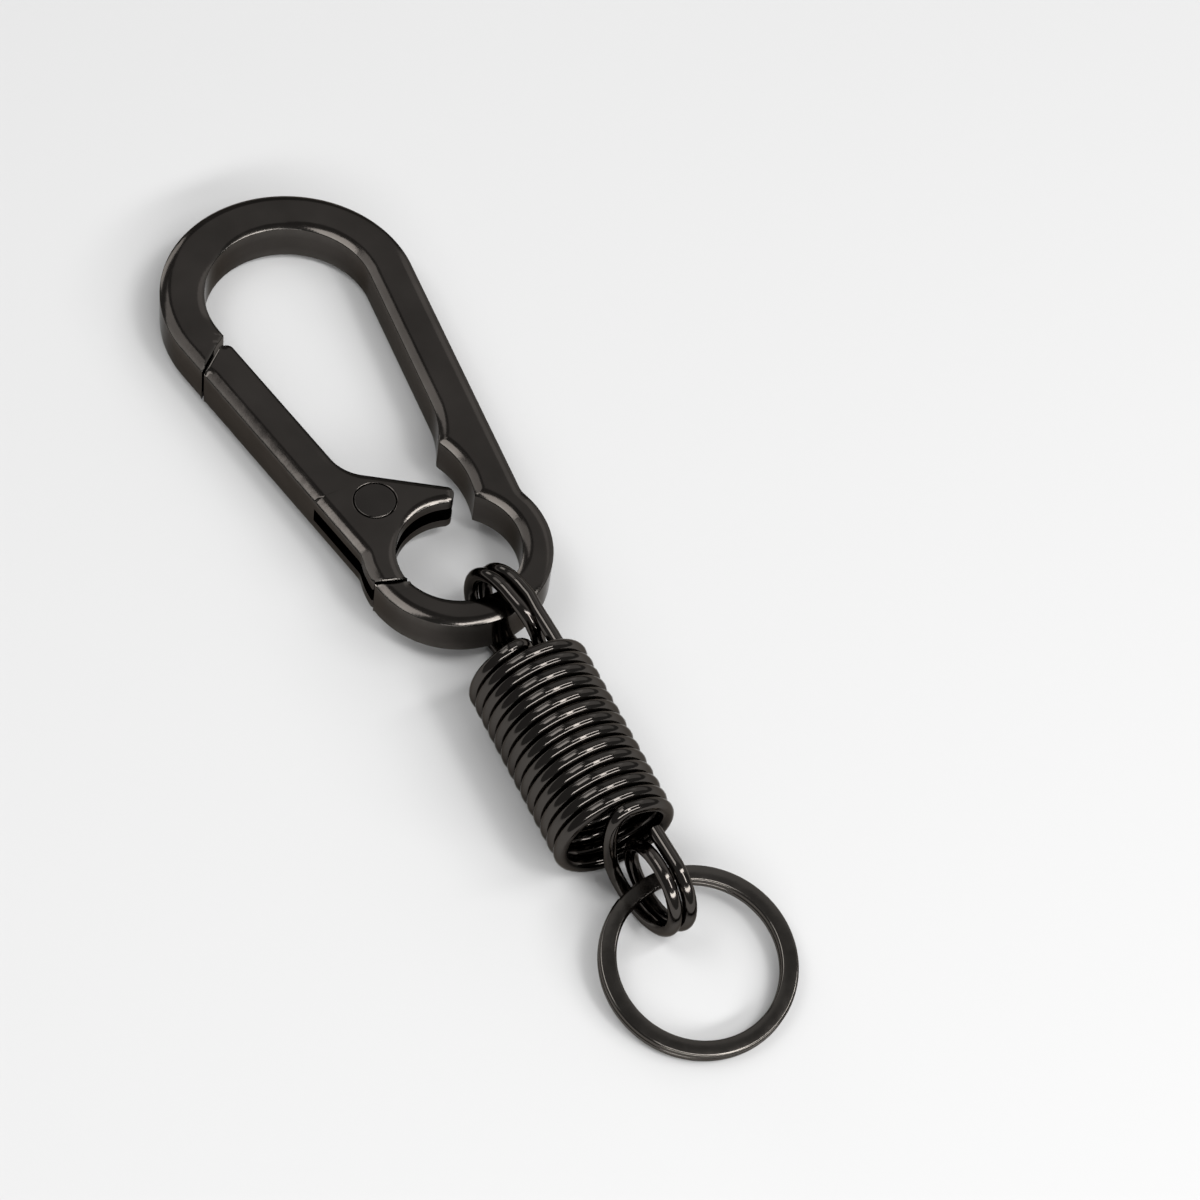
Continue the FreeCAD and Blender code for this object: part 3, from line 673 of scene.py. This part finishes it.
def make_pin(finish):
    """Rivet: a shank and two flush heads with a small round at the rim."""
    half, head, bend = HOOK["thickness"] / 2, PIN["head"], PIN["rim_round"]
    under = half - PIN["head_depth"]
    rim = [(head - bend + bend * math.sin(a), half - bend + bend * math.cos(a))
           for a in np.radians(np.linspace(0, 90, PIN["rim_points"]))]
    profile = [(0.0, half)] + rim + [(head, under), (PIN["radius"], under)]
    profile += [(r, -z) for r, z in profile[::-1]]
    mesh = bmesh.new()
    verts = [mesh.verts.new((r, 0, z)) for r, z in profile]
    edges = [mesh.edges.new(pair) for pair in zip(verts, verts[1:])]
    bmesh.ops.spin(mesh, geom=verts + edges, cent=(0, 0, 0), axis=(0, 0, 1), angle=2 * math.pi,
                   steps=PIN["steps"], use_merge=True)
    bmesh.ops.remove_doubles(mesh, verts=mesh.verts, dist=PIN_WELD)
    bmesh.ops.recalc_face_normals(mesh, faces=mesh.faces)
    sharp = math.radians(PIN["sharp_angle"])
    for edge in mesh.edges:
        edge.smooth = len(edge.link_faces) == 2 and edge.calc_face_angle() < sharp
    for face in mesh.faces:
        face.smooth = True
    mesh.transform(hook_plane())
    data = bpy.data.meshes.new("rivet")
    mesh.to_mesh(data)
    mesh.free()
    data.materials.append(finish)
    return linked("rivet", data)


def smooth_side(sides, quarter):
    """Place of a loop across the axis at any part of a quarter turn."""
    low = min(int(quarter), len(sides) - 2)
    a, b = sides[low], sides[low + 1]
    before = sides[low - 1] if low else 2 * a - b
    after = sides[low + 2] if low + 2 < len(sides) else 2 * b - a
    return hermite(a, (b - before) / 2, b, (after - a) / 2, 1.0, quarter - low)[0]


def loop_points(end, centre, away):
    """Double loop of the wire, from the coil's side to its free end."""
    radius, lean, flat = SPRING["loop_radius"], SPRING[end + "_lean"], SPRING[end + "_flat"]
    middle, pitch = SPRING[end + "_side"], SPRING["loop_pitch"]
    quarters, steps = SPRING["loop_quarters"], SPRING["loop_steps"]
    sides = [middle + pitch * (quarter - SPRING["loop_middle"]) / 4 for quarter in range(quarters + 1)]
    sides[0] -= SPRING[end + "_spread"]
    points = []
    for step in range(quarters * steps + 1):
        quarter = step / steps
        angle = math.pi * (1 + quarter / 2)
        rise = radius * math.sin(angle)
        # the straight strands at the bottom and top part the half turn by the coil from the far one
        turn = step % (4 * steps)
        if turn in (steps, 3 * steps):
            shifts = dict.fromkeys((-flat, 0.0) if turn == steps else (0.0, -flat))
        else:
            shifts = (0.0,) if steps < turn < 3 * steps else (-flat,)
        for shift in shifts:
            place = radius * math.cos(angle) + shift
            points.append((smooth_side(sides, quarter) + lean * place, centre + away * place, rise))
    # the free end runs on towards the coil, and may dip into its mouth
    for share in SPRING["tail_shares"]:
        place = SPRING[end + "_tail"] * share
        side = sides[-1] + lean * place / 2
        points.append((side, centre + away * place, rise - SPRING[end + "_drop"] * share ** 2))
    return np.array(points)


def joined(first, second):
    """Points that carry the wire smoothly from the end of one run to the start of another."""
    a, b = first[-1], second[0]
    reach = SPRING["bend_fullness"] * np.linalg.norm(b - a)
    leave, arrive = unit(first[-1] - first[-2]), unit(second[1] - second[0])
    between = np.linspace(0, 1, SPRING["bend_steps"] + 1)[1:-1]
    return np.array([hermite(a, leave, b, arrive, reach, t)[0] for t in between])


def coil_ends():
    """Where the coil starts and ends along the spring's axis."""
    start = -SPRING["upper_reach"]
    return start, start - SPRING["coil_length"]


def wire_line():
    """Centre line of the whole spring: upper loop, close-wound coil, lower loop."""
    radius = SPRING["coil_radius"]
    start, end = coil_ends()
    upper = loop_points("upper", 0.0, 1)[::-1]
    lower = loop_points("lower", end - SPRING["lower_reach"], -1)
    first = math.acos((upper[-1][0] - SPRING["upper_bend"]) / radius)
    last = math.acos((lower[0][0] + SPRING["lower_bend"]) / radius) + 2 * math.pi * SPRING["turns"]
    coil = []
    for share in np.linspace(0, 1, SPRING["turns"] * SPRING["turn_steps"] + 1):
        angle = first + (last - first) * share
        height = SPRING["coil_axis"] + radius * math.sin(angle)
        coil.append((radius * math.cos(angle), start + (end - start) * share, height))
    coil = np.array(coil)
    return np.vstack([upper, joined(upper, coil), coil, joined(coil, lower), lower])


def node_tree(name, inputs):
    """A geometry tree with named inputs and one geometry output."""
    tree = bpy.data.node_groups.new(name, "GeometryNodeTree")
    tree.interface.new_socket("Geometry", in_out="INPUT", socket_type="NodeSocketGeometry")
    for label, kind in inputs:
        tree.interface.new_socket(label, in_out="INPUT", socket_type=kind)
    tree.interface.new_socket("Geometry", in_out="OUTPUT", socket_type="NodeSocketGeometry")
    return tree, tree.nodes.new("NodeGroupInput"), tree.nodes.new("NodeGroupOutput")


def grown(host, tree, values, name):
    """Run a geometry tree on a host object and keep the result as a plain mesh."""
    modifier = host.modifiers.new(tree.name, "NODES")
    modifier.node_group = tree
    for item in tree.interface.items_tree:
        if item.in_out == "INPUT" and item.name in values:
            modifier[item.identifier] = values[item.name]
    graph = bpy.context.evaluated_depsgraph_get()
    mesh = bpy.data.meshes.new_from_object(host.evaluated_get(graph), depsgraph=graph)
    bpy.data.objects.remove(host)
    mesh.name = name
    return linked(name, mesh)


def sweep_tree():
    """Sweeps a round wire along a line."""
    inputs = [("Wire", "NodeSocketFloat"), ("Sides", "NodeSocketInt"), ("Finish", "NodeSocketMaterial")]
    tree, start, end = node_tree("WireSweep", inputs)
    link = tree.links.new
    half = tree.nodes.new("ShaderNodeMath")
    half.operation = "MULTIPLY"
    half.inputs[1].default_value = 0.5
    link(start.outputs["Wire"], half.inputs[0])
    section_node = tree.nodes.new("GeometryNodeCurvePrimitiveCircle")
    link(start.outputs["Sides"], section_node.inputs["Resolution"])
    link(half.outputs[0], section_node.inputs["Radius"])
    sweep = tree.nodes.new("GeometryNodeCurveToMesh")
    sweep.inputs["Fill Caps"].default_value = True
    link(start.outputs["Geometry"], sweep.inputs["Curve"])
    link(section_node.outputs["Curve"], sweep.inputs["Profile Curve"])
    finish_tree(tree, sweep.outputs["Mesh"], start, end)
    return tree


def finish_tree(tree, socket, start, end):
    """Close a tree: real geometry, smooth faces, and the finish."""
    link = tree.links.new
    real = tree.nodes.new("GeometryNodeRealizeInstances")
    smooth = tree.nodes.new("GeometryNodeSetShadeSmooth")
    paint = tree.nodes.new("GeometryNodeSetMaterial")
    link(socket, real.inputs["Geometry"])
    link(real.outputs["Geometry"], smooth.inputs["Geometry"])
    link(smooth.outputs["Geometry"], paint.inputs["Geometry"])
    link(start.outputs["Finish"], paint.inputs["Material"])
    link(paint.outputs["Geometry"], end.inputs["Geometry"])


def line_object(name, points, matrix):
    """A plain curve through points, as the path of a sweep."""
    curve = bpy.data.curves.new(name, "CURVE")
    curve.dimensions = "3D"
    spline = curve.splines.new("POLY")
    spline.points.add(len(points) - 1)
    placed = [matrix @ Vector(point) for point in points]
    spline.points.foreach_set("co", [c for point in placed for c in (*point, 1.0)])
    return linked(name, curve)


def make_spring(finish):
    """The whole stretch spring as one wire, in place of its two solids."""
    path = line_object("spring_line", wire_line(), spring_plane())
    values = {"Wire": SPRING["wire"] * MM, "Sides": SPRING["sides"], "Finish": finish}
    return grown(path, sweep_tree(), values, "stretch_spring")


def ring_tree():
    """A flat split ring: two turns of one strip with rounded rims, joined by a slanted step."""
    sizes = ("Radius", "Band", "Layer", "Rise", "Rim", "Turns", "Low", "High")
    inputs = [(label, "NodeSocketFloat") for label in sizes]
    inputs += [("Steps", "NodeSocketInt"), ("Finish", "NodeSocketMaterial")]
    tree, start, end = node_tree("SplitRing", inputs)
    link = tree.links.new
    turns = tree.nodes.new("GeometryNodeCurveSpiral")
    turns.inputs["Height"].default_value = 0.0
    link(start.outputs["Steps"], turns.inputs["Resolution"])
    link(start.outputs["Turns"], turns.inputs["Rotations"])
    for end_name in ("Start Radius", "End Radius"):
        link(start.outputs["Radius"], turns.inputs[end_name])
    place = tree.nodes.new("GeometryNodeSplineParameter")
    step = tree.nodes.new("ShaderNodeMapRange")
    step.interpolation_type = "SMOOTHSTEP"
    link(place.outputs["Factor"], step.inputs["Value"])
    link(start.outputs["Low"], step.inputs["From Min"])
    link(start.outputs["High"], step.inputs["From Max"])
    down = tree.nodes.new("ShaderNodeMath")
    down.operation = "MULTIPLY"
    down.inputs[1].default_value = -1.0
    link(start.outputs["Rise"], down.inputs[0])
    link(down.outputs[0], step.inputs["To Min"])
    link(start.outputs["Rise"], step.inputs["To Max"])
    lift = tree.nodes.new("ShaderNodeCombineXYZ")
    link(step.outputs["Result"], lift.inputs["Z"])
    raised = tree.nodes.new("GeometryNodeSetPosition")
    link(turns.outputs["Curve"], raised.inputs["Geometry"])
    link(lift.outputs["Vector"], raised.inputs["Offset"])
    upright = tree.nodes.new("GeometryNodeSetCurveNormal")
    upright.mode = "Z_UP"
    link(raised.outputs["Geometry"], upright.inputs["Curve"])
    strip = tree.nodes.new("GeometryNodeCurvePrimitiveQuadrilateral")
    link(start.outputs["Band"], strip.inputs["Width"])
    link(start.outputs["Layer"], strip.inputs["Height"])
    rims = tree.nodes.new("GeometryNodeFilletCurve")
    rims.mode = "POLY"
    rims.inputs["Count"].default_value = RING["rim_steps"]
    link(strip.outputs["Curve"], rims.inputs["Curve"])
    link(start.outputs["Rim"], rims.inputs["Radius"])
    sweep = tree.nodes.new("GeometryNodeCurveToMesh")
    sweep.inputs["Fill Caps"].default_value = True
    link(upright.outputs["Curve"], sweep.inputs["Curve"])
    link(rims.outputs["Curve"], sweep.inputs["Profile Curve"])
    finish_tree(tree, sweep.outputs["Mesh"], start, end)
    return tree


def ring_plane():
    """Frame of the ring's solid: its centre, its own plane, and X along the spring's cross axis."""
    points = np.array([v.co for v in frame["nodes"]["key_ring"].data.vertices])
    middle = points.mean(axis=0)
    normal = np.linalg.svd(points - middle, full_matrices=False)[2][2]
    normal = normal if normal[2] > 0 else -normal
    along = np.array(JOINTS["spring_swing"]["axis"])
    along = unit(along - normal * (along @ normal))
    axes = (along, np.cross(normal, along), normal)
    centre = sum(axis * (np.max(points @ axis) + np.min(points @ axis)) / 2 for axis in axes)
    return plane_matrix(centre, along, normal)


def make_ring(finish):
    """The split ring in place of its solid, with its layers pressed closer together."""
    host = linked("ring_line", bpy.data.meshes.new("ring_line"))
    layer_turn = 360 - RING["step_angle"]
    whole = 2 * layer_turn + RING["step_angle"]
    values = {
        "Radius": RING["radius"] - RING["band"] / 2,
        "Band": RING["band"],
        "Layer": RING["layer"],
        "Rise": (RING["layer"] + RING["layer_gap"]) / 2,
        "Rim": RING["rim_round"],
        "Turns": whole / 360,
        "Low": layer_turn / whole,
        "High": (layer_turn + RING["step_angle"]) / whole,
        "Steps": RING["steps"],
        "Finish": finish,
    }
    piece = grown(host, ring_tree(), values, "split_ring")
    piece.data.transform(ring_plane() @ Matrix.Rotation(math.radians(RING["turned"]), 4, "Z"))
    return piece


def pattern(nodes, links, name):
    """One of the plating's noises, on the piece's own coordinates."""
    scale, detail = PATTERNS[name]
    place = nodes.new("ShaderNodeTexCoord")
    noise = nodes.new("ShaderNodeTexNoise")
    noise.inputs["Scale"].default_value = scale
    noise.inputs["Detail"].default_value = detail
    links.new(place.outputs["Object"], noise.inputs["Vector"])
    return noise.outputs["Fac"]


def ramp(nodes, links, socket, stops, tones):
    """Turn a noise into a colour between two stops."""
    node = nodes.new("ShaderNodeValToRGB")
    for element, stop, tone in zip(node.color_ramp.elements, stops, tones):
        element.position = stop
        element.color = (*tone, 1.0)
    links.new(socket, node.inputs["Fac"])
    return node.outputs["Color"]


def plating(name, dark, light, smooth, dull, relief, worn):
    """A metal finish: uneven tone, a polish that varies from place to place, and fine ripples."""
    material = bpy.data.materials.new(name)
    material.use_nodes = True
    nodes, links = material.node_tree.nodes, material.node_tree.links
    shader = nodes["Principled BSDF"]
    shader.inputs["Metallic"].default_value = 1.0
    shader.inputs["Specular Tint"].default_value = EDGE_TINT
    tone = ramp(nodes, links, pattern(nodes, links, "tone"), TONE_STOPS, (dark, light))
    rough = ramp(nodes, links, pattern(nodes, links, "polish"), POLISH_STOPS, ([smooth] * 3, [dull] * 3))
    if worn:
        edge = nodes.new("ShaderNodeAttribute")
        edge.attribute_name = "wear"
        amount = nodes.new("ShaderNodeMath")
        amount.operation = "MULTIPLY"
        links.new(edge.outputs["Fac"], amount.inputs[0])
        links.new(pattern(nodes, links, "wear"), amount.inputs[1])
        mix = nodes.new("ShaderNodeMix")
        mix.data_type = "RGBA"
        links.new(amount.outputs[0], mix.inputs["Factor"])
        links.new(tone, mix.inputs["A"])
        mix.inputs["B"].default_value = (*worn, 1.0)
        tone = mix.outputs["Result"]
    links.new(tone, shader.inputs["Base Color"])
    links.new(rough, shader.inputs["Roughness"])
    bump = nodes.new("ShaderNodeBump")
    bump.inputs["Strength"].default_value = relief
    bump.inputs["Distance"].default_value = RIPPLE_DEPTH
    links.new(pattern(nodes, links, "ripple"), bump.inputs["Height"])
    links.new(bump.outputs["Normal"], shader.inputs["Normal"])
    return material


def floor_finish():
    material = bpy.data.materials.new("pale_floor")
    material.use_nodes = True
    shader = material.node_tree.nodes["Principled BSDF"]
    shader.inputs["Base Color"].default_value = (*[FLOOR["tone"]] * 3, 1.0)
    shader.inputs["Roughness"].default_value = FLOOR["roughness"]
    shader.inputs["Specular IOR Level"].default_value = FLOOR["shine"]
    return material


def make_floor():
    size = FLOOR["half_side"]
    corners = [(-size, -size, 0), (size, -size, 0), (size, size, 0), (-size, size, 0)]
    mesh = bpy.data.meshes.new("floor")
    mesh.from_pydata(corners, [], [(0, 1, 2, 3)])
    mesh.materials.append(floor_finish())
    floor = linked("floor", mesh)


def softbox(name, direction, along, width, height, power):
    """A flat lamp that faces the clip, with its width along a given way."""
    lamp = bpy.data.lights.new(name, "AREA")
    lamp.shape = "RECTANGLE"
    lamp.size, lamp.size_y, lamp.energy = width, height, power
    box = linked(name, lamp)
    z = Vector(direction).normalized()
    x = Vector(along)
    x = (x - z * x.dot(z)).normalized()
    box.location = z * LAMP_DISTANCE
    box.rotation_euler = Matrix((x, z.cross(x), z)).transposed().to_euler()


def light_studio():
    for lamp in LAMPS:
        softbox(*lamp)
    world = bpy.data.worlds.new("studio")
    world.use_nodes = True
    light = world.node_tree.nodes["Background"]
    light.inputs["Color"].default_value = (1.0, 1.0, 1.0, 1.0)
    light.inputs["Strength"].default_value = WORLD_STRENGTH
    bpy.context.scene.world = world
    bpy.context.scene.view_settings.view_transform = "Standard"


def aim_camera():
    lens = bpy.data.cameras.new("camera")
    lens.lens, lens.sensor_width = CAMERA["lens"], CAMERA["sensor"]
    lens.clip_start, lens.clip_end = CAMERA["near"], CAMERA["far"]
    camera = linked("camera", lens)
    camera.location = CAMERA["place"]
    camera.rotation_euler = Euler([math.radians(angle) for angle in CAMERA["turn"]], "XYZ")
    bpy.context.scene.camera = camera


def build():
    finish = {name: plating(name, *values) for name, values in FINISHES.items()}
    hook_line = section("hook_body", HOOK["section_level"])
    gate_line = section("gate", HOOK["section_level"])
    hook = make_hook(hook_line, gate_line, finish["cast_black_nickel"])
    gate = make_gate(gate_line, hook_line, finish["cast_black_nickel"])
    pin = make_pin(finish["rivet_black_nickel"])
    spring = make_spring(finish["wire_black_nickel"])
    ring = make_ring(finish["ring_black_nickel"])

    inner = frame["nodes"]["gate_spring"].data
    inner.materials.clear()
    inner.materials.append(finish["bare_spring_steel"])

    for piece, node, body, slot in (
        (hook, "hook_body", "hook", "cast_gunmetal"),
        (gate, "gate", "gate_arm", "cast_gunmetal"),
        (pin, "pivot_pin", "hook", "pin_steel"),
        (ring, "key_ring", "ring", "plated_ring_steel"),
    ):
        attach(piece, body)
        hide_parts(node)
    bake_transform(spring)
    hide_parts("spring_coil", "spring_lower_hook")


build()
make_floor()
light_studio()
aim_camera()
